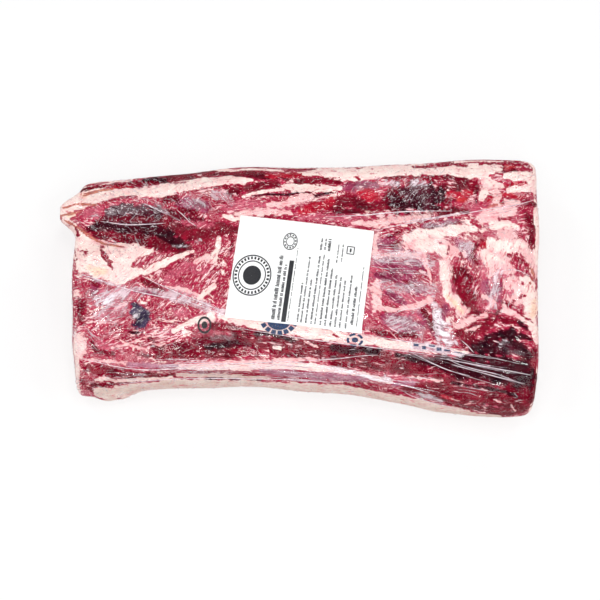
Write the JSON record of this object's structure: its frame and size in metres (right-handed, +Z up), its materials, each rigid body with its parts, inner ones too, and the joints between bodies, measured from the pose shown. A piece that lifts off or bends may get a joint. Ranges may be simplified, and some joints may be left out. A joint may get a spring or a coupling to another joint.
{
  "type": "vacuum packed beef striploin",
  "caption": "Whole boneless beef striploin, fat side down, drawn tight in a clear vacuum bag, with a plain printed paper label on top.",
  "frame": {"origin": "on the floor, under the middle of the pack's bounding box", "axes": "+X along the loin towards its wide end, +Y across it towards the back, +Z up from the fat side"},
  "size_m": [0.4534, 0.2543, 0.0786],
  "materials": {
    "bag_over_beef": "clear film drawn wet and tight over marbled beef",
    "beef": "raw marbled lean with creamy fat, wet",
    "clear_film": "clear shrink film, glossy",
    "label_paper": "matt coated white paper",
    "print_black": "flat black label print",
    "print_blue": "dark blue print on the film"
  },
  "bodies": {
    "root": {"vacuum_bag": "bag_over_beef", "label": "label_paper"}
  },
  "joints": []
}
